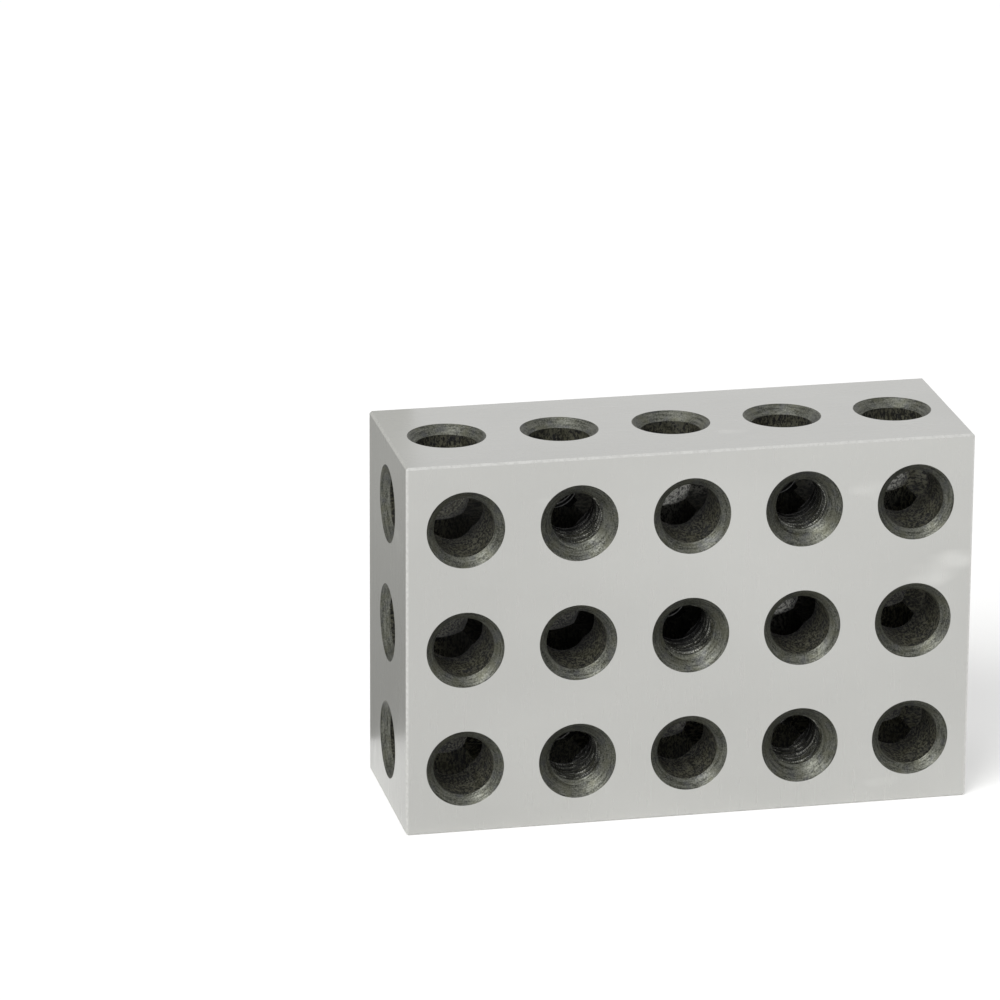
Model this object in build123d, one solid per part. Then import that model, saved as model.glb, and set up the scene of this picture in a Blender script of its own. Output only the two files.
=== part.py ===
from build123d import *
from math import radians, tan
import os

# Setup block: one piece of hardened tool steel, ground square on all six faces and pierced by a
# lattice of countersunk holes. Millimetres; X along the length, Y through the thickness, Z up.
# The origin is at the middle of the face that the block stands on.

# Overall size
LENGTH = 76.2
THICKNESS = 25.4
HEIGHT = 50.8
EDGE_CHAMFER = 0.3

# Hole lattice: columns along the length and rows up the height, all centred in the thickness
COLUMNS = 5
ROWS = 3
END_MARGIN = 7.9  # end face to the axis of the nearest column
EDGE_MARGIN = 8.9  # top or bottom face to the axis of the nearest row

# Holes
PLAIN_BORE_D = 8.1
THREAD_TAP_D = 6.8  # tapping drill of the M8 holes, at the crests of their thread
MOUTH_D = 10.4  # the countersinks of plain and tapped holes end in the same circle
COUNTERSINK_ANGLE = 90  # between opposite sides of the cone
DRILL_RUNOUT = 2.0  # how far a cutter reaches past the face that it breaks through

COLUMN_PITCH = (LENGTH - 2 * END_MARGIN) / (COLUMNS - 1)
ROW_PITCH = (HEIGHT - 2 * EDGE_MARGIN) / (ROWS - 1)
COLUMN_X = [END_MARGIN - LENGTH / 2 + COLUMN_PITCH * i for i in range(COLUMNS)]
ROW_Z = [EDGE_MARGIN + ROW_PITCH * j for j in range(ROWS)]


def tapped(column, row):
    """Tapped holes stand like the spots of a five on a die, clear of the outermost columns."""
    inner = 0 < column < COLUMNS - 1
    return inner and (column + row) % 2 == 1


def ground_block():
    """The blank: a box with every edge broken."""
    blank = Pos(0, 0, HEIGHT / 2) * Box(LENGTH, THICKNESS, HEIGHT)
    return chamfer(blank.edges(), EDGE_CHAMFER)


def hole_cutter(bore_d, depth):
    """Half of a through hole's section turned about Z: bore, two countersinks, and run-out at both ends."""
    slope = tan(radians(COUNTERSINK_ANGLE / 2))
    sink = (MOUTH_D - bore_d) / 2 / slope
    flare = MOUTH_D / 2 + DRILL_RUNOUT * slope
    half = depth / 2
    section = Polyline(
        (0, -half - DRILL_RUNOUT),
        (flare, -half - DRILL_RUNOUT),
        (bore_d / 2, sink - half),
        (bore_d / 2, half - sink),
        (flare, half + DRILL_RUNOUT),
        (0, half + DRILL_RUNOUT),
        close=True,
    )
    return revolve(Plane.XZ * make_face(section), Axis.Z)


def hole_cutters():
    """Every hole of the lattice, in its place: through the thickness, the height and the length."""
    plain_across = hole_cutter(PLAIN_BORE_D, THICKNESS)
    tapped_across = hole_cutter(THREAD_TAP_D, THICKNESS)
    upright = hole_cutter(PLAIN_BORE_D, HEIGHT)
    lengthwise = hole_cutter(PLAIN_BORE_D, LENGTH)
    cutters = []
    for i, x in enumerate(COLUMN_X):
        cutters.append(Pos(x, 0, HEIGHT / 2) * upright)
        for j, z in enumerate(ROW_Z):
            across = tapped_across if tapped(i, j) else plain_across
            cutters.append(Pos(x, 0, z) * Rot(X=90) * across)
    for z in ROW_Z:
        cutters.append(Pos(0, 0, z) * Rot(Y=90) * lengthwise)
    return cutters


setup_block = ground_block() - hole_cutters()

os.makedirs("parts", exist_ok=True)
export_step(setup_block, "parts/setup_block.step")
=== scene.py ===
import math

import bpy
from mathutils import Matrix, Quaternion, Vector


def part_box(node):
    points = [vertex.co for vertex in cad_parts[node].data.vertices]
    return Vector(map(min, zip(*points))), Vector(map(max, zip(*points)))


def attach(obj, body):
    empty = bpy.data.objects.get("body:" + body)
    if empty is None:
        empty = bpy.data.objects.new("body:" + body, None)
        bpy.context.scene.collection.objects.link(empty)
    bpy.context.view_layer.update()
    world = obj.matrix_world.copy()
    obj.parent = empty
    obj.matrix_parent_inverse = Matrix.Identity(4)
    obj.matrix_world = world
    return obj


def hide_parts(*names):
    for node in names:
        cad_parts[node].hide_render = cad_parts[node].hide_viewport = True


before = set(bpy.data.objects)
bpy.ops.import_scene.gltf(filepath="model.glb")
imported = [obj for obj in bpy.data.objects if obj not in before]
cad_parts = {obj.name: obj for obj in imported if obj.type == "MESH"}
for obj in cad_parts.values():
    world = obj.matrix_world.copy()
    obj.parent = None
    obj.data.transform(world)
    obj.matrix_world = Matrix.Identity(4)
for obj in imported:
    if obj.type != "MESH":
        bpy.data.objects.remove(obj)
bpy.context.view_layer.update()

mm = 0.001  # the frame is in metres, the settings below are in millimetres
blockNode = "setup_block"
boxLow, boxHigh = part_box(blockNode)
blockSize = boxHigh - boxLow
blockCentre = (boxLow + boxHigh) / 2
print("frame loaded, block measures", [round(side / mm, 2) for side in blockSize], "mm")


def linearColour(hexCode):
    channels = [int(hexCode[i:i + 2], 16) / 255 for i in (1, 3, 5)]
    linear = [c / 12.92 if c <= 0.04045 else ((c + 0.055) / 1.055) ** 2.4 for c in channels]
    return (*linear, 1.0)


# adds a node; an input takes a value, a socket to link from, or a list of sockets
def addNode(tree, kind, inputs=None, **settings):
    node = tree.nodes.new(kind)
    for name, value in settings.items():
        setattr(node, name, value)
    for key, value in (inputs or {}).items():
        for entry in value if isinstance(value, list) else [value]:
            if isinstance(entry, bpy.types.NodeSocket):
                tree.links.new(entry, node.inputs[key])
            else:
                node.inputs[key].default_value = entry
    return node


def newMaterial(name):
    material = bpy.data.materials.new(name)
    material.use_nodes = True
    material.node_tree.nodes.clear()
    return material, material.node_tree


# Hardened tool steel, surface ground: even satin silver, with hair lines all one way and faint clouds.
# A range here and below is where a noise, or a depth, starts to count and where it counts in full.
groundFinish = {
    "silver": "#C4C4C1",
    "flatAngleTint": "#F2F2F2",  # iron mirrors a little less at a flat angle than a perfect metal
    "roughness": (0.26, 0.36),
    "lineSpacing": 0.25,  # real grinding lines are some 0.03 apart, drawn coarser to show
    "lineLength": 7.0,
    "lineRange": (0.3, 0.7),
    "lineDepth": 0.01,
    "lineStrength": 0.12,
    "clouds": {"silver": "#BCBCB9", "size": (55.0, 28.0, 28.0), "seed": 3710.75, "detail": 4.0,
               "range": (0.35, 0.65)},
    # where a cloth has left the face a shade brighter
    "wipes": {"silver": "#CDCDCA", "size": (13.0, 6.0, 6.0), "seed": 6483.75, "detail": 2.0,
              "range": (0.67, 0.78)},
    # painted highlight: the broken edges are painted brighter in short dashes
    "edges": {"silver": "#CFCFCC", "grain": 0.5, "range": (0.2, 0.65)},
    "topFacing": 0.8,  # a face that looks up this much is ground along its length
    "flatFacing": 0.95,  # what looks less than this along any axis is a broken edge
}


def groundToolSteel(look):
    material, tree = newMaterial("groundToolSteel")
    place = addNode(tree, "ShaderNodeTexCoord")
    facing = addNode(tree, "ShaderNodeVectorMath", {0: place.outputs["Normal"]}, operation="ABSOLUTE")
    facingAxes = addNode(tree, "ShaderNodeSeparateXYZ", {0: facing.outputs[0]})
    across, along = 1 / (look["lineSpacing"] * mm), 1 / (look["lineLength"] * mm)
    sideLines = addNode(tree, "ShaderNodeVectorMath",
                        {0: place.outputs["Object"], 1: (across, across, along)}, operation="MULTIPLY")
    topLines = addNode(tree, "ShaderNodeVectorMath",
                       {0: place.outputs["Object"], 1: (along, across, across)}, operation="MULTIPLY")
    isTop = addNode(tree, "ShaderNodeMath", {0: facingAxes.outputs["Z"], 1: look["topFacing"]},
                    operation="GREATER_THAN")
    lineDirection = addNode(tree, "ShaderNodeMix", {0: isTop.outputs[0], 4: sideLines.outputs[0],
                                                    5: topLines.outputs[0]}, data_type="VECTOR")
    lines = addNode(tree, "ShaderNodeTexNoise", {"Vector": lineDirection.outputs[1], "Scale": 1.0,
                                                 "Detail": 3.0, "Roughness": 0.6})
    colour = linearColour(look["silver"])
    for layer in (look["clouds"], look["wipes"]):
        perMetre = tuple(1 / (size * mm) for size in layer["size"])
        spread = addNode(tree, "ShaderNodeVectorMath", {0: place.outputs["Object"], 1: perMetre},
                         operation="MULTIPLY")
        spots = addNode(tree, "ShaderNodeTexNoise", {
            "Vector": spread.outputs[0], "W": layer["seed"], "Scale": 1.0, "Detail": layer["detail"]},
            noise_dimensions="4D")
        spotFrom, spotTo = layer["range"]
        share = addNode(tree, "ShaderNodeMapRange", {0: spots.outputs[0], 1: spotFrom, 2: spotTo})
        colour = addNode(tree, "ShaderNodeMix", {
            0: share.outputs[0], 6: colour, 7: linearColour(layer["silver"])}, data_type="RGBA").outputs[2]
    # flat faces look straight along an axis, the broken edges between them do not
    largest = addNode(tree, "ShaderNodeMath", {0: facingAxes.outputs["X"], 1: facingAxes.outputs["Y"]},
                      operation="MAXIMUM")
    largest = addNode(tree, "ShaderNodeMath", {0: largest.outputs[0], 1: facingAxes.outputs["Z"]},
                      operation="MAXIMUM")
    isEdge = addNode(tree, "ShaderNodeMath", {0: largest.outputs[0], 1: look["flatFacing"]},
                     operation="LESS_THAN")
    # painted highlight along the broken edges, in dashes
    edges = look["edges"]
    dashes = addNode(tree, "ShaderNodeTexNoise", {"Vector": place.outputs["Object"], "Detail": 1.0,
                                                  "Scale": 1 / (edges["grain"] * mm)})
    dashFrom, dashTo = edges["range"]
    dashed = addNode(tree, "ShaderNodeMapRange", {0: dashes.outputs[0], 1: dashFrom, 2: dashTo})
    edgeHighlightShare = addNode(tree, "ShaderNodeMath", {0: isEdge.outputs[0], 1: dashed.outputs[0]},
                        operation="MULTIPLY")
    colour = addNode(tree, "ShaderNodeMix", {0: edgeHighlightShare.outputs[0], 6: colour,
                                             7: linearColour(edges["silver"])}, data_type="RGBA").outputs[2]
    lineFrom, lineTo = look["lineRange"]
    smoothest, roughest = look["roughness"]
    roughness = addNode(tree, "ShaderNodeMapRange", {0: lines.outputs[0], 1: lineFrom, 2: lineTo,
                                                     3: smoothest, 4: roughest})
    hairLines = addNode(tree, "ShaderNodeBump", {
        "Strength": look["lineStrength"], "Distance": look["lineDepth"] * mm, "Height": lines.outputs[0]})
    steel = addNode(tree, "ShaderNodeBsdfPrincipled", {"Base Color": colour, "Metallic": 1.0,
                                                       "Roughness": roughness.outputs[0],
                                                       "Specular Tint": linearColour(look["flatAngleTint"]),
                                                       "Normal": hairLines.outputs[0]})
    addNode(tree, "ShaderNodeOutputMaterial", {"Surface": steel.outputs[0]})
    return material


# Cut steel under its hardening scale: matt, dark and grainy, ringed by the cutter, tinted straw and slate.
# The real grain is finer than 0.1, drawn coarser to show.
countersunkFinish = {
    "light": "#71726A", "dark": "#2C2D27", "darkRange": (0.4, 0.6), "straw": "#58584A", "slate": "#4A4B50",
    "metallic": 0.75, "specular": 0.3, "roughness": (0.4, 0.52),
    "ringSpacing": 0.2, "grain": 0.2, "grainShare": 0.6, "patchSize": 1.4, "relief": 0.03,
}
drilledFinish = {
    "light": "#6A6958", "dark": "#070705", "darkRange": (0.45, 0.53), "straw": "#403F2A", "slate": "#2E3033",
    "metallic": 0.1, "specular": 0.4, "roughness": (0.6, 0.85),
    "ringSpacing": 0.4, "grain": 0.3, "grainShare": 0.85, "patchSize": 1.8, "relief": 0.08,
    "stretch": 1.9,  # the grain is drawn out along the bore
    # painted shade: the bore walls are painted near black far in, where little light reaches, and darker
    # just inside the mouth under the countersink's edge
    "paintedShadeBlack": "#060605",
    "paintedDepthShade": [{"range": (6.8, 9.2), "most": 0.8},  # far in
                   {"range": (4.5, 1.2), "most": 0.5}],  # just inside the mouth
    # here and there in the back half, where the drill broke through, the scale has come off
    "bare": {"steel": "#8A8A84", "metallic": 0.9, "roughness": 0.5, "size": 12.0, "seed": 2658.5,
             "range": (0.57, 0.6), "jagged": 0.3, "speckRange": (0.56, 0.46), "backHalf": (3.0, 5.0)},
}
threadFinish = {
    "light": "#4A4B42", "dark": "#0C0C09", "darkRange": (0.42, 0.57),
    "grainShare": 0.75, "patchSize": 1.4, "relief": 0.05,
    "paintedShadeBlack": "#060605",
    # painted shade: the thread is painted darker further into the hole
    "paintedDepthShade": [{"range": (1.8, 7.8), "most": 1.0}],
    # painted glints: standing edges are painted bright in dashes, but not at the mouth, and less further in
    "rubbed": {"steel": "#D6D6CF", "most": 0.62, "standing": (0.5, 0.55), "dashGrain": 0.35,
               "dashRange": (0.5, 0.43), "begins": (1.9, 2.6), "ends": (3.0, 9.0)},
}
tappedFinish = {
    **threadFinish, "straw": "#38382A", "slate": "#2E3035",
    "metallic": 0.6, "specular": 0.2, "roughness": (0.22, 0.48), "ringSpacing": 0.3, "grain": 0.2,
}
crestFinish = {  # what the tap drill leaves between the thread's grooves
    **threadFinish, "straw": "#38382C", "slate": "#303237",
    "metallic": 0.3, "specular": 0.3, "roughness": (0.5, 0.7), "ringSpacing": 0.4, "grain": 0.25,
}
# what the cut faces share
scaleMarks = {
    "arcLength": 2.5,
    "straw": {"range": (0.52, 0.66), "most": 0.5},
    "slate": {"range": (0.46, 0.34), "most": 0.4},
    "roughRange": (0.35, 0.65),
    "reliefStrength": 0.8,
}


def scaleSteel(name, look):
    material, tree = newMaterial(name)
    place = addNode(tree, "ShaderNodeTexCoord").outputs["Object"]
    # all holes run in from a face, so the depth under the nearest face draws the rings of every hole
    offset = addNode(tree, "ShaderNodeVectorMath", {0: place, 1: blockCentre}, operation="SUBTRACT")
    distance = addNode(tree, "ShaderNodeVectorMath", {0: offset.outputs[0]}, operation="ABSOLUTE")
    depths = addNode(tree, "ShaderNodeVectorMath", {0: blockSize / 2, 1: distance.outputs[0]},
                     operation="SUBTRACT")
    axes = addNode(tree, "ShaderNodeSeparateXYZ", {0: depths.outputs[0]})
    depth = axes.outputs["X"]
    for axis in ("Y", "Z"):
        nearer = addNode(tree, "ShaderNodeMath", {0: depth, 1: axes.outputs[axis]}, operation="MINIMUM")
        depth = nearer.outputs[0]
    turns = addNode(tree, "ShaderNodeMath", {0: depth, 1: 1 / (look["ringSpacing"] * mm)},
                    operation="MULTIPLY")
    arcs = addNode(tree, "ShaderNodeVectorMath", {0: place, "Scale": 1 / (scaleMarks["arcLength"] * mm)},
                   operation="SCALE")
    rings = addNode(tree, "ShaderNodeTexNoise", {
        "Vector": arcs.outputs[0], "W": turns.outputs[0], "Scale": 1.0, "Detail": 2.0, "Roughness": 0.6},
        noise_dimensions="4D").outputs[0]
    grainPlace = drawnOut(tree, place, look["stretch"]) if "stretch" in look else place
    grain = addNode(tree, "ShaderNodeTexNoise", {"Vector": grainPlace, "Scale": 1 / (look["grain"] * mm),
                                                 "Detail": 3.0, "Roughness": 0.75}).outputs[0]
    marks = addNode(tree, "ShaderNodeMix", {0: look["grainShare"], 2: rings, 3: grain}).outputs[0]
    darkFrom, darkTo = look["darkRange"]
    darkShare = addNode(tree, "ShaderNodeMapRange", {0: marks, 1: darkFrom, 2: darkTo})
    colour = addNode(tree, "ShaderNodeMix", {0: darkShare.outputs[0], 6: linearColour(look["light"]),
                                             7: linearColour(look["dark"])}, data_type="RGBA").outputs[2]
    patches = addNode(tree, "ShaderNodeTexNoise", {"Vector": place, "Scale": 1 / (look["patchSize"] * mm),
                                                   "Detail": 3.0})
    for tint in ("straw", "slate"):
        tintFrom, tintTo = scaleMarks[tint]["range"]
        share = addNode(tree, "ShaderNodeMapRange", {0: patches.outputs[0], 1: tintFrom, 2: tintTo,
                                                     4: scaleMarks[tint]["most"]})
        colour = addNode(tree, "ShaderNodeMix", {
            0: share.outputs[0], 6: colour, 7: linearColour(look[tint])}, data_type="RGBA").outputs[2]
    # painted shade: the colour is darkened with depth under the nearest face, where less light reaches
    for layer in look.get("paintedDepthShade", []):
        depthShadeFrom, depthShadeTo = layer["range"]
        share = addNode(tree, "ShaderNodeMapRange", {0: depth, 1: depthShadeFrom * mm, 2: depthShadeTo * mm,
                                                     4: layer["most"]})
        colour = addNode(tree, "ShaderNodeMix", {
            0: share.outputs[0], 6: colour, 7: linearColour(look["paintedShadeBlack"])}, data_type="RGBA").outputs[2]
    # painted glints on the thread's edges
    if "rubbed" in look:
        colour = rubbedBright(tree, look["rubbed"], colour, depth, rings, grain)
    roughFrom, roughTo = scaleMarks["roughRange"]
    smoothest, roughest = look["roughness"]
    roughness = addNode(tree, "ShaderNodeMapRange", {0: marks, 1: roughFrom, 2: roughTo,
                                                     3: smoothest, 4: roughest})
    finish = {"Base Color": colour, "Metallic": look["metallic"], "Roughness": roughness.outputs[0]}
    if "bare" in look:
        finish = flakedOff(tree, look["bare"], finish, place, offset.outputs[0], grain, marks)
    relief = addNode(tree, "ShaderNodeBump", {"Strength": scaleMarks["reliefStrength"],
                                              "Distance": look["relief"] * mm, "Height": marks})
    steel = addNode(tree, "ShaderNodeBsdfPrincipled", {**finish, "Specular IOR Level": look["specular"],
                                                       "Normal": relief.outputs[0]})
    addNode(tree, "ShaderNodeOutputMaterial", {"Surface": steel.outputs[0]})
    return material


# coordinates in which a pattern comes out longer along the bore that it lies in
def drawnOut(tree, place, stretch):
    along = addNode(tree, "ShaderNodeAttribute", attribute_name="along").outputs["Vector"]
    run = addNode(tree, "ShaderNodeVectorMath", {0: place, 1: along}, operation="DOT_PRODUCT")
    shorter = addNode(tree, "ShaderNodeMath", {0: run.outputs["Value"], 1: 1 / stretch - 1},
                      operation="MULTIPLY")
    pulled = addNode(tree, "ShaderNodeVectorMath", {0: along, "Scale": shorter.outputs[0]},
                     operation="SCALE")
    moved = addNode(tree, "ShaderNodeVectorMath", {0: place, 1: pulled.outputs[0]}, operation="ADD")
    return moved.outputs[0]


# painted glints on the thread's standing edges, in dashes, fading out further into the hole
def rubbedBright(tree, rubbed, colour, depth, rings, grain):
    shape = addNode(tree, "ShaderNodeNewGeometry")
    standFrom, standTo = rubbed["standing"]
    standing = addNode(tree, "ShaderNodeMapRange", {0: shape.outputs["Pointiness"], 1: standFrom, 2: standTo,
                                                    4: rubbed["most"]})
    dashes = addNode(tree, "ShaderNodeMix", {0: rubbed["dashGrain"], 2: rings, 3: grain})
    dashFrom, dashTo = rubbed["dashRange"]
    dashed = addNode(tree, "ShaderNodeMapRange", {0: dashes.outputs[0], 1: dashFrom, 2: dashTo})
    beginFrom, beginTo = rubbed["begins"]
    begun = addNode(tree, "ShaderNodeMapRange", {0: depth, 1: beginFrom * mm, 2: beginTo * mm})
    endFrom, endTo = rubbed["ends"]
    glintDepthShare = addNode(tree, "ShaderNodeMapRange", {0: depth, 1: endFrom * mm, 2: endTo * mm,
                                                   3: begun.outputs[0], 4: 0.0})
    share = addNode(tree, "ShaderNodeMath", {0: standing.outputs[0], 1: dashed.outputs[0]},
                    operation="MULTIPLY")
    share = addNode(tree, "ShaderNodeMath", {0: share.outputs[0], 1: glintDepthShare.outputs[0]},
                    operation="MULTIPLY")
    return addNode(tree, "ShaderNodeMix", {0: share.outputs[0], 6: colour, 7: linearColour(rubbed["steel"])},
                   data_type="RGBA").outputs[2]


def flakedOff(tree, bare, finish, place, offset, grain, marks):
    spread = addNode(tree, "ShaderNodeVectorMath", {0: place, "Scale": 1 / (bare["size"] * mm)},
                     operation="SCALE")
    spots = addNode(tree, "ShaderNodeTexNoise", {"Vector": spread.outputs[0], "W": bare["seed"],
                                                 "Scale": 1.0, "Detail": 1.0}, noise_dimensions="4D")
    noiseMiddle = 0.5
    jags = addNode(tree, "ShaderNodeMath", {0: grain, 1: noiseMiddle}, operation="SUBTRACT")
    jags = addNode(tree, "ShaderNodeMath", {0: jags.outputs[0], 1: bare["jagged"], 2: spots.outputs[0]},
                   operation="MULTIPLY_ADD")
    spotFrom, spotTo = bare["range"]
    flaked = addNode(tree, "ShaderNodeMapRange", {0: jags.outputs[0], 1: spotFrom, 2: spotTo})
    where = addNode(tree, "ShaderNodeSeparateXYZ", {0: offset})
    backFrom, backTo = bare["backHalf"]
    isBack = addNode(tree, "ShaderNodeMapRange", {0: where.outputs["Y"], 1: backFrom * mm, 2: backTo * mm})
    speckFrom, speckTo = bare["speckRange"]
    specks = addNode(tree, "ShaderNodeMapRange", {0: marks, 1: speckFrom, 2: speckTo})
    share = addNode(tree, "ShaderNodeMath", {0: flaked.outputs[0], 1: isBack.outputs[0]},
                    operation="MULTIPLY")
    share = addNode(tree, "ShaderNodeMath", {0: share.outputs[0], 1: specks.outputs[0]},
                    operation="MULTIPLY").outputs[0]
    colour = addNode(tree, "ShaderNodeMix", {
        0: share, 6: finish["Base Color"], 7: linearColour(bare["steel"])}, data_type="RGBA")
    metallic = addNode(tree, "ShaderNodeMapRange", {0: share, 3: finish["Metallic"], 4: bare["metallic"]})
    roughness = addNode(tree, "ShaderNodeMix", {0: share, 2: finish["Roughness"], 3: bare["roughness"]})
    return {"Base Color": colour.outputs[2], "Metallic": metallic.outputs[0],
            "Roughness": roughness.outputs[0]}


steels = {
    "Ground Steel": groundToolSteel(groundFinish),
    "Countersunk Steel": scaleSteel("countersunkScaleSteel", countersunkFinish),
    "Drilled Steel": scaleSteel("drilledScaleSteel", drilledFinish),
    "Tapped Steel": scaleSteel("tappedScaleSteel", tappedFinish),
    "Crest Steel": scaleSteel("tapDrilledScaleSteel", crestFinish),
}
print("materials made:", ", ".join(steel.name for steel in steels.values()))

# The block: a ground blank with its edges broken, pierced through all three ways on one lattice.
blockSettings = {
    "edgeBreak": 0.3,
    "columns": 5,
    "rows": 3,
    "endMargin": 7.9,  # end face to the nearest column of holes
    "edgeMargin": 8.9,  # top or bottom face to the nearest row
    "bore": 8.1,
    "tapDrill": 6.8,
    "thread": 8.0,
    "pitch": 1.25,
    "threadStart": 194,  # turn of the thread about its hole, in degrees
    "mouth": 10.4,
    "runOut": 1.0,  # how far the cutters stand out of the faces
    "boreSides": 112,
    "threadSides": 72,
    "mergeWithin": 0.004,
    "sharpAngle": 25,  # edges that bend by more than this stay crisp, in degrees
}


def newTree(name, inputs, outputs):
    tree = bpy.data.node_groups.new(name, "GeometryNodeTree")
    for direction, sockets in (("INPUT", inputs), ("OUTPUT", outputs)):
        for socketName, kind in sockets.items():
            tree.interface.new_socket(socketName, in_out=direction, socket_type="NodeSocket" + kind)
    return tree, tree.nodes.new("NodeGroupInput").outputs, tree.nodes.new("NodeGroupOutput")


# Cutters of a through hole along Z at each point: the bore, and a 90 degree countersink at both ends.
def countersunkHoleTree():
    tree, given, result = newTree("countersunkHole", {
        "Points": "Geometry", "Direction": "Rotation", "Depth": "Float", "Bore": "Float", "Mouth": "Float",
        "Run Out": "Float", "Sides": "Int"}, {"Bores": "Geometry", "Countersinks": "Geometry"})
    length = addNode(tree, "ShaderNodeMath", {0: given["Run Out"], 1: 2.0, 2: given["Depth"]},
                     operation="MULTIPLY_ADD")
    radius = addNode(tree, "ShaderNodeMath", {0: given["Bore"], 1: 0.5}, operation="MULTIPLY")
    drill = addNode(tree, "GeometryNodeMeshCylinder", {
        "Vertices": given["Sides"], "Radius": radius.outputs[0], "Depth": length.outputs[0]})
    flare = addNode(tree, "ShaderNodeMath", {0: given["Mouth"], 1: 0.5, 2: given["Run Out"]},
                    operation="MULTIPLY_ADD")
    cone = addNode(tree, "GeometryNodeMeshCone", {"Vertices": given["Sides"], "Radius Top": flare.outputs[0],
                                                  "Radius Bottom": 0.0, "Depth": flare.outputs[0]})
    tip = addNode(tree, "ShaderNodeMath", {0: given["Depth"], 1: given["Mouth"]}, operation="SUBTRACT")
    tip = addNode(tree, "ShaderNodeMath", {0: tip.outputs[0], 1: 0.5}, operation="MULTIPLY")
    rise = addNode(tree, "ShaderNodeCombineXYZ", {"Z": tip.outputs[0]})
    upper = addNode(tree, "GeometryNodeTransform", {"Geometry": cone.outputs["Mesh"],
                                                    "Translation": rise.outputs[0]})
    lower = addNode(tree, "GeometryNodeTransform", {"Geometry": upper.outputs[0],
                                                    "Rotation": (math.pi, 0, 0)})
    placed = [addNode(tree, "GeometryNodeInstanceOnPoints", {
        "Points": given["Points"], "Instance": cutter, "Rotation": given["Direction"]}).outputs[0]
        for cutter in (drill.outputs["Mesh"], upper.outputs[0], lower.outputs[0])]
    sinks = addNode(tree, "GeometryNodeJoinGeometry", {0: placed[1:]})
    tree.links.new(placed[0], result.inputs["Bores"])
    tree.links.new(sinks.outputs[0], result.inputs["Countersinks"])
    return tree


# The groove of an inside thread at each point: a 60 degree section swept along a right-hand spiral.
def threadGrooveTree():
    tree, given, result = newTree("threadGroove", {
        "Points": "Geometry", "Direction": "Rotation", "Depth": "Float", "Drill": "Float", "Thread": "Float",
        "Pitch": "Float", "Start": "Float", "Run Out": "Float", "Sides": "Int"}, {"Grooves": "Geometry"})
    height = addNode(tree, "ShaderNodeMath", {0: given["Run Out"], 1: 2.0, 2: given["Depth"]},
                     operation="MULTIPLY_ADD")
    turns = addNode(tree, "ShaderNodeMath", {0: height.outputs[0], 1: given["Pitch"]}, operation="DIVIDE")
    overlap = 1.2  # the section starts a little inside the drilled wall, so that it cuts cleanly
    reach = addNode(tree, "ShaderNodeMath", {0: given["Thread"], 1: given["Drill"]}, operation="SUBTRACT")
    reach = addNode(tree, "ShaderNodeMath", {0: reach.outputs[0], 1: overlap / 2}, operation="MULTIPLY")
    rootFlat = 1 / 8  # part of the pitch
    root = addNode(tree, "ShaderNodeMath", {0: given["Pitch"], 1: rootFlat}, operation="MULTIPLY")
    flankAngle = 60
    opening = 2 * math.tan(math.radians(flankAngle / 2))
    inner = addNode(tree, "ShaderNodeMath", {0: reach.outputs[0], 1: opening, 2: root.outputs[0]},
                    operation="MULTIPLY_ADD")
    section = addNode(tree, "GeometryNodeCurvePrimitiveQuadrilateral", {
        "Height": reach.outputs[0], "Bottom Width": inner.outputs[0], "Top Width": root.outputs[0],
        "Offset": 0.0}, mode="TRAPEZOID")
    section = addNode(tree, "GeometryNodeTransform", {"Geometry": section.outputs[0],
                                                      "Rotation": (0, 0, -math.pi / 2)})
    middle = addNode(tree, "ShaderNodeMath", {0: given["Thread"], 1: reach.outputs[0]}, operation="SUBTRACT")
    middle = addNode(tree, "ShaderNodeMath", {0: middle.outputs[0], 1: 0.5}, operation="MULTIPLY")
    spiral = addNode(tree, "GeometryNodeCurveSpiral", {
        "Resolution": given["Sides"], "Rotations": turns.outputs[0], "Start Radius": middle.outputs[0],
        "End Radius": middle.outputs[0], "Height": height.outputs[0], "Reverse": True})
    upright = addNode(tree, "GeometryNodeSetCurveNormal", {"Curve": spiral.outputs[0]}, mode="Z_UP")
    coil = addNode(tree, "GeometryNodeCurveToMesh", {"Curve": upright.outputs[0],
                                                     "Profile Curve": section.outputs[0], "Fill Caps": True})
    drop = addNode(tree, "ShaderNodeMath", {0: height.outputs[0], 1: -0.5}, operation="MULTIPLY")
    drop = addNode(tree, "ShaderNodeCombineXYZ", {"Z": drop.outputs[0]})
    turned = addNode(tree, "ShaderNodeCombineXYZ", {"Z": given["Start"]})
    coil = addNode(tree, "GeometryNodeTransform", {
        "Geometry": coil.outputs[0], "Translation": drop.outputs[0], "Rotation": turned.outputs[0]})
    placed = addNode(tree, "GeometryNodeInstanceOnPoints", {
        "Points": given["Points"], "Instance": coil.outputs[0], "Rotation": given["Direction"]})
    tree.links.new(placed.outputs[0], result.inputs["Grooves"])
    return tree


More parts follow.
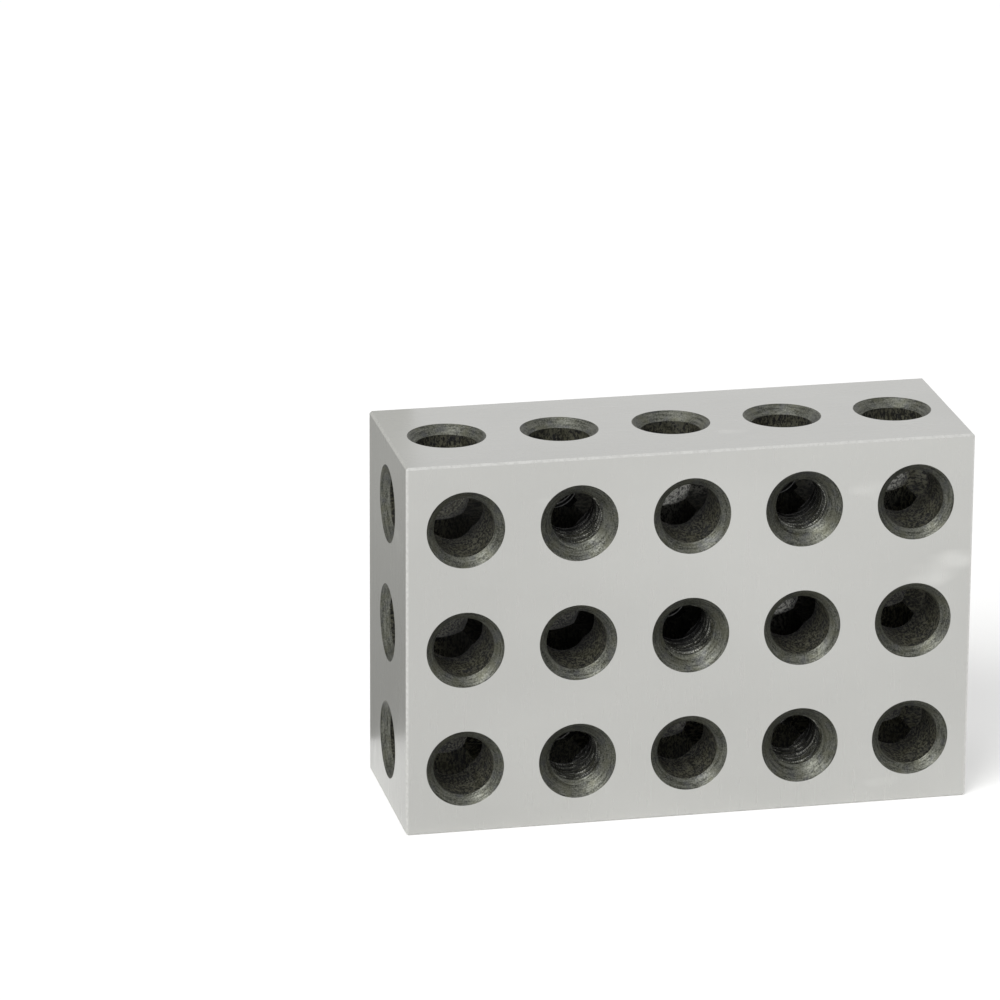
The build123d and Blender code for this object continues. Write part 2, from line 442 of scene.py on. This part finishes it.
def setupBlockTree(sharpAngle):
    tree, given, result = newTree("setupBlock", {
        "Length": "Float", "Thickness": "Float", "Height": "Float", "Edge Break": "Float",
        "Columns": "Int", "Rows": "Int", "Column Pitch": "Float", "Row Pitch": "Float",
        "Bore": "Float", "Tap Drill": "Float", "Thread": "Float", "Pitch": "Float", "Thread Start": "Float",
        "Mouth": "Float", "Run Out": "Float", "Bore Sides": "Int", "Thread Sides": "Int",
        "Merge Within": "Float", **{steelName: "Material" for steelName in steels}}, {"Mesh": "Geometry"})

    # blank: the hull of three boxes, each a little short two ways, has all its edges broken
    size = addNode(tree, "ShaderNodeCombineXYZ", {"X": given["Length"], "Y": given["Thickness"],
                                                  "Z": given["Height"]})
    boxes = []
    for shortWays in ((0, -2, -2), (-2, 0, -2), (-2, -2, 0)):
        side = addNode(tree, "ShaderNodeVectorMath", {
            0: shortWays, 1: given["Edge Break"], 2: size.outputs[0]}, operation="MULTIPLY_ADD")
        boxes.append(addNode(tree, "GeometryNodeMeshCube", {"Size": side.outputs[0]}).outputs["Mesh"])
    boxes = addNode(tree, "GeometryNodeJoinGeometry", {0: boxes})
    blank = addNode(tree, "GeometryNodeConvexHull", {0: boxes.outputs[0]})

    # lattice in the middle of the thickness, counted up each column in turn
    spans = []
    for count, pitch in (("Columns", "Column Pitch"), ("Rows", "Row Pitch")):
        gaps = addNode(tree, "ShaderNodeMath", {0: given[count], 1: 1.0}, operation="SUBTRACT")
        span = addNode(tree, "ShaderNodeMath", {0: gaps.outputs[0], 1: given[pitch]}, operation="MULTIPLY")
        spans.append(span)
    grid = addNode(tree, "GeometryNodeMeshGrid", {
        "Size X": spans[0].outputs[0], "Size Y": spans[1].outputs[0],
        "Vertices X": given["Columns"], "Vertices Y": given["Rows"]})
    lattice = addNode(tree, "GeometryNodeTransform", {"Geometry": grid.outputs["Mesh"],
                                                      "Rotation": (math.pi / 2, 0, 0)})
    index = addNode(tree, "GeometryNodeInputIndex")
    column = addNode(tree, "ShaderNodeMath", {0: index.outputs[0], 1: given["Rows"]}, operation="DIVIDE")
    column = addNode(tree, "ShaderNodeMath", {0: column.outputs[0]}, operation="FLOOR")
    row = addNode(tree, "ShaderNodeMath", {0: index.outputs[0], 1: given["Rows"]}, operation="MODULO")
    # tapped ones stand like the spots of a five, so every second hole except in the end columns
    steps = addNode(tree, "ShaderNodeMath", {0: column.outputs[0], 1: row.outputs[0]}, operation="ADD")
    second = addNode(tree, "ShaderNodeMath", {0: steps.outputs[0], 1: 2.0}, operation="MODULO")
    lastColumn = addNode(tree, "ShaderNodeMath", {0: given["Columns"], 1: 1.0}, operation="SUBTRACT")
    toLast = addNode(tree, "ShaderNodeMath", {0: lastColumn.outputs[0], 1: column.outputs[0]},
                     operation="SUBTRACT")
    inner = addNode(tree, "ShaderNodeMath", {0: toLast.outputs[0], 1: column.outputs[0]},
                    operation="MULTIPLY")
    isTapped = addNode(tree, "ShaderNodeMath", {0: inner.outputs[0], 1: second.outputs[0]},
                       operation="MULTIPLY")
    across = addNode(tree, "GeometryNodeSeparateGeometry", {
        "Geometry": lattice.outputs[0], "Selection": isTapped.outputs[0]}, domain="POINT")
    ends = [addNode(tree, "ShaderNodeMath", {0: span.outputs[0], 1: -0.5}, operation="MULTIPLY").outputs[0]
            for span in spans]
    firstColumn = addNode(tree, "ShaderNodeCombineXYZ", {"X": ends[0]})
    nextColumn = addNode(tree, "ShaderNodeCombineXYZ", {"X": given["Column Pitch"]})
    upright = addNode(tree, "GeometryNodeMeshLine", {
        "Count": given["Columns"], "Start Location": firstColumn.outputs[0],
        "Offset": nextColumn.outputs[0]})
    firstRow = addNode(tree, "ShaderNodeCombineXYZ", {"Z": ends[1]})
    nextRow = addNode(tree, "ShaderNodeCombineXYZ", {"Z": given["Row Pitch"]})
    lengthwise = addNode(tree, "GeometryNodeMeshLine", {
        "Count": given["Rows"], "Start Location": firstRow.outputs[0], "Offset": nextRow.outputs[0]})

    # one pass of cutters for each way through, the tapped ones on a smaller drill
    holeTree = countersunkHoleTree()
    ways = (
        (across.outputs["Inverted"], (math.pi / 2, 0, 0), (0, 1, 0), "Thickness", "Bore"),
        (across.outputs["Selection"], (math.pi / 2, 0, 0), (0, 1, 0), "Thickness", "Tap Drill"),
        (upright.outputs[0], (0, 0, 0), (0, 0, 1), "Height", "Bore"),
        (lengthwise.outputs[0], (0, math.pi / 2, 0), (1, 0, 0), "Length", "Bore"),
    )
    bores, countersinks = [], []
    for points, direction, axis, depth, drill in ways:
        hole = addNode(tree, "GeometryNodeGroup", {
            "Points": points, "Direction": direction, "Depth": given[depth], "Bore": given[drill],
            "Mouth": given["Mouth"], "Run Out": given["Run Out"], "Sides": given["Bore Sides"]},
            node_tree=holeTree)
        # the grain on the wall follows the bore's own direction
        drawn = addNode(tree, "GeometryNodeStoreNamedAttribute", {
            "Geometry": hole.outputs["Bores"], "Name": "along", "Value": axis},
            data_type="FLOAT_VECTOR", domain="FACE")
        bores.append(drawn.outputs[0])
        countersinks.append(hole.outputs["Countersinks"])
    grooves = addNode(tree, "GeometryNodeGroup", {
        "Points": across.outputs["Selection"], "Direction": (math.pi / 2, 0, 0), "Depth": given["Thickness"],
        "Drill": given["Tap Drill"], "Thread": given["Thread"], "Pitch": given["Pitch"],
        "Start": given["Thread Start"], "Run Out": given["Run Out"], "Sides": given["Thread Sides"]},
        node_tree=threadGrooveTree())

    # each cutter marks the faces that it leaves
    cutters = []
    crests = [bores.pop(1)]  # what the tap drill leaves between the grooves
    for mark, shapes in (("bored", bores), ("crest", crests), ("countersunk", countersinks),
                         ("tapped", [grooves.outputs[0]])):
        shapes = addNode(tree, "GeometryNodeJoinGeometry", {0: shapes})
        marked = addNode(tree, "GeometryNodeStoreNamedAttribute", {
            "Geometry": shapes.outputs[0], "Name": mark, "Value": True}, data_type="BOOLEAN", domain="FACE")
        cutters.append(marked.outputs[0])
    cut = addNode(tree, "GeometryNodeMeshBoolean", {"Mesh 1": blank.outputs[0], "Mesh 2": cutters},
                  operation="DIFFERENCE", solver="MANIFOLD")
    merged = addNode(tree, "GeometryNodeMergeByDistance", {"Geometry": cut.outputs["Mesh"],
                                                           "Distance": given["Merge Within"]})
    raised = addNode(tree, "ShaderNodeMath", {0: given["Height"], 1: 0.5}, operation="MULTIPLY")
    raised = addNode(tree, "ShaderNodeCombineXYZ", {"Z": raised.outputs[0]})
    standing = addNode(tree, "GeometryNodeTransform", {"Geometry": merged.outputs[0],
                                                       "Translation": raised.outputs[0]})
    smooth = addNode(tree, "GeometryNodeSetShadeSmooth", {
        "Geometry": standing.outputs[0], "Shade Smooth": True}, domain="FACE")
    bend = addNode(tree, "GeometryNodeInputMeshEdgeAngle")
    isSharp = addNode(tree, "FunctionNodeCompare", {0: bend.outputs["Unsigned Angle"],
                                                    1: math.radians(sharpAngle)}, operation="GREATER_THAN")
    creased = addNode(tree, "GeometryNodeSetShadeSmooth", {
        "Geometry": smooth.outputs[0], "Selection": isSharp.outputs[0], "Shade Smooth": False},
        domain="EDGE")
    real = addNode(tree, "GeometryNodeRealizeInstances", {0: creased.outputs[0]})
    shape = addNode(tree, "GeometryNodeSetMaterial", {"Geometry": real.outputs[0],
                                                      "Material": given["Ground Steel"]})
    for mark, steelName in (("bored", "Drilled Steel"), ("crest", "Crest Steel"),
                            ("countersunk", "Countersunk Steel"), ("tapped", "Tapped Steel")):
        marked = addNode(tree, "GeometryNodeInputNamedAttribute", {"Name": mark}, data_type="BOOLEAN")
        shape = addNode(tree, "GeometryNodeSetMaterial", {
            "Geometry": shape.outputs[0], "Selection": marked.outputs[0], "Material": given[steelName]})
    tree.links.new(shape.outputs[0], result.inputs["Mesh"])
    return tree


def makeBlock(settings):
    tree = setupBlockTree(settings["sharpAngle"])
    length, thickness, height = blockSize
    values = {
        "Length": length, "Thickness": thickness, "Height": height, "Edge Break": settings["edgeBreak"] * mm,
        "Columns": settings["columns"], "Rows": settings["rows"],
        "Column Pitch": (length - 2 * settings["endMargin"] * mm) / (settings["columns"] - 1),
        "Row Pitch": (height - 2 * settings["edgeMargin"] * mm) / (settings["rows"] - 1),
        "Bore": settings["bore"] * mm, "Tap Drill": settings["tapDrill"] * mm,
        "Thread": settings["thread"] * mm, "Pitch": settings["pitch"] * mm,
        "Thread Start": math.radians(settings["threadStart"]), "Mouth": settings["mouth"] * mm,
        "Run Out": settings["runOut"] * mm, "Bore Sides": settings["boreSides"],
        "Thread Sides": settings["threadSides"], "Merge Within": settings["mergeWithin"] * mm,
        **steels,
    }
    holder = bpy.data.objects.new("blockHolder", bpy.data.meshes.new("blockHolder"))
    bpy.context.scene.collection.objects.link(holder)
    modifier = holder.modifiers.new("setupBlock", "NODES")
    modifier.node_group = tree
    for socket in tree.interface.items_tree:
        if socket.in_out == "INPUT":
            modifier[socket.identifier] = values[socket.name]
    shaped = holder.evaluated_get(bpy.context.evaluated_depsgraph_get())
    mesh = bpy.data.meshes.new_from_object(shaped)
    mesh.name = "groundBlock"
    mesh.materials.pop(index=list(mesh.materials).index(None))  # the blank's own empty slot
    holder.modifiers.remove(modifier)
    bpy.data.objects.remove(holder)
    block = bpy.data.objects.new("groundBlock", mesh)
    bpy.context.scene.collection.objects.link(block)
    return block


block = makeBlock(blockSettings)
block.data.calc_loop_triangles()
print("block cut:", len(block.data.vertices), "points,", len(block.data.loop_triangles), "triangles,",
      [steel.name for steel in block.data.materials])
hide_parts(blockNode)
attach(block, "root")

# Studio: pale seamless floor, white all round, one large softbox above and to the left.
studioSettings = {
    "floorSize": 8000,
    "floorColour": "#EDEDEC",
    "floorLift": 0.35,  # what the floor lacks to white, for the eye only
    "skyForFloor": 0.45,  # how much of the white all round falls on things as light
    "softbox": {"place": (-3300, -3600, 5040), "size": 3600, "watts": 290.0},
    # painted reflection: a glowing grey card beside the left end, seen only in gloss, painted darker at its
    # foot and paler towards its top, and wider above the block
    "reflectionCard": {"behind": 24, "left": -79, "right": -38.5, "wideRight": -30, "wideFrom": 50, "top": 76,
             "lowGrey": "#AEAEAB", "shades": [{"grey": "#C4C4C1", "range": (0, 40)},
                                              {"grey": "#E6E6E3", "range": (46, 53)}]},
}


# 1 for what the eye sees, directly, in metal or through glass, and 0 for light falling on things
def seenByEye(tree):
    path = addNode(tree, "ShaderNodeLightPath")
    seen = path.outputs["Is Camera Ray"]
    for kind in ("Is Glossy Ray", "Is Transmission Ray"):
        seen = addNode(tree, "ShaderNodeMath", {0: seen, 1: path.outputs[kind]},
                       operation="MAXIMUM").outputs[0]
    return seen


def flatSheet(name, corners, material):
    mesh = bpy.data.meshes.new(name)
    mesh.from_pydata([tuple(Vector(corner) * mm) for corner in corners], [], [range(len(corners))])
    mesh.materials.append(material)
    sheet = bpy.data.objects.new(name, mesh)
    bpy.context.scene.collection.objects.link(sheet)
    return sheet


def whitePaper(settings):
    material, tree = newMaterial("whitePaper")
    matt = addNode(tree, "ShaderNodeBsdfDiffuse", {"Color": linearColour(settings["floorColour"])})
    lift = addNode(tree, "ShaderNodeMath", {0: seenByEye(tree), 1: settings["floorLift"]},
                   operation="MULTIPLY")
    glow = addNode(tree, "ShaderNodeEmission", {"Strength": lift.outputs[0]})
    both = addNode(tree, "ShaderNodeAddShader", {0: matt.outputs[0], 1: glow.outputs[0]})
    addNode(tree, "ShaderNodeOutputMaterial", {"Surface": both.outputs[0]})
    return material


# painted reflection: a glowing card, darker towards its foot, seen only in gloss
def paintedReflectionCard(settings):
    material, tree = newMaterial("paintedReflectionCard")
    place = addNode(tree, "ShaderNodeTexCoord")
    height = addNode(tree, "ShaderNodeSeparateXYZ", {0: place.outputs["Object"]})
    colour = linearColour(settings["lowGrey"])
    for shade in settings["shades"]:
        shadeFrom, shadeTo = shade["range"]
        share = addNode(tree, "ShaderNodeMapRange", {
            0: height.outputs["Z"], 1: shadeFrom * mm, 2: shadeTo * mm})
        colour = addNode(tree, "ShaderNodeMix", {
            0: share.outputs[0], 6: colour, 7: linearColour(shade["grey"])}, data_type="RGBA").outputs[2]
    tone = addNode(tree, "ShaderNodeEmission", {"Color": colour})
    addNode(tree, "ShaderNodeOutputMaterial", {"Surface": tone.outputs[0]})
    return material


def makeStudio(settings):
    scene = bpy.context.scene
    half = settings["floorSize"] / 2
    floor = flatSheet("floor", [(-half, -half, 0), (half, -half, 0), (half, half, 0), (-half, half, 0)],
                      whitePaper(settings))

    reflectionCard = settings["reflectionCard"]
    left, right, wideRight = reflectionCard["left"], reflectionCard["right"], reflectionCard["wideRight"]
    outline = [(left, 0), (right, 0), (right, reflectionCard["wideFrom"]), (wideRight, reflectionCard["wideFrom"]),
               (wideRight, reflectionCard["top"]), (left, reflectionCard["top"])]
    # painted reflection: the card glows and is seen only in gloss
    card = flatSheet("reflectionCard", [(x, reflectionCard["behind"], z) for x, z in outline], paintedReflectionCard(reflectionCard))
    for way in ("camera", "diffuse", "transmission", "volume_scatter", "shadow"):
        setattr(card, "visible_" + way, False)

    world = bpy.data.worlds.new("whiteTent")
    world.use_nodes = True
    tree = world.node_tree
    tree.nodes.clear()
    level = addNode(tree, "ShaderNodeMapRange", {0: seenByEye(tree), 3: settings["skyForFloor"], 4: 1.0})
    sky = addNode(tree, "ShaderNodeBackground", {"Color": (1, 1, 1, 1), "Strength": level.outputs[0]})
    addNode(tree, "ShaderNodeOutputWorld", {"Surface": sky.outputs[0]})
    scene.world = world

    softbox = settings["softbox"]
    lamp = bpy.data.lights.new("softbox", "AREA")
    lamp.size = softbox["size"] * mm
    lamp.energy = softbox["watts"]
    holder = bpy.data.objects.new("softbox", lamp)
    scene.collection.objects.link(holder)
    holder.location = Vector(softbox["place"]) * mm
    holder.rotation_euler = (blockCentre - holder.location).to_track_quat("-Z", "Y").to_euler()


makeStudio(studioSettings)
print("studio set")

# Camera: found from the block's edges and hole mouths in the picture.
cameraSettings = {
    "azimuth": -12.061,
    "elevation": 18.389,
    "roll": 0.276,
    "distance": 832.2,
    "target": (-22.99, 0.051, 41.436),
    "lens": 227.5,
    "sensor": 36,
    "clip": (50, 50000),
}


def makeCamera(settings):
    turn, tilt = math.radians(settings["azimuth"]), math.radians(settings["elevation"])
    back = Vector((math.sin(turn) * math.cos(tilt), -math.cos(turn) * math.cos(tilt), math.sin(tilt)))
    data = bpy.data.cameras.new("camera")
    data.lens = settings["lens"]
    data.sensor_width = settings["sensor"]
    data.clip_start, data.clip_end = [reach * mm for reach in settings["clip"]]
    camera = bpy.data.objects.new("camera", data)
    bpy.context.scene.collection.objects.link(camera)
    camera.location = (Vector(settings["target"]) + back * settings["distance"]) * mm
    aim = (-back).to_track_quat("-Z", "Y") @ Quaternion((0, 0, 1), math.radians(settings["roll"]))
    camera.rotation_euler = aim.to_euler()
    bpy.context.scene.camera = camera


makeCamera(cameraSettings)
bpy.context.scene.view_settings.view_transform = "Standard"
print("camera set")
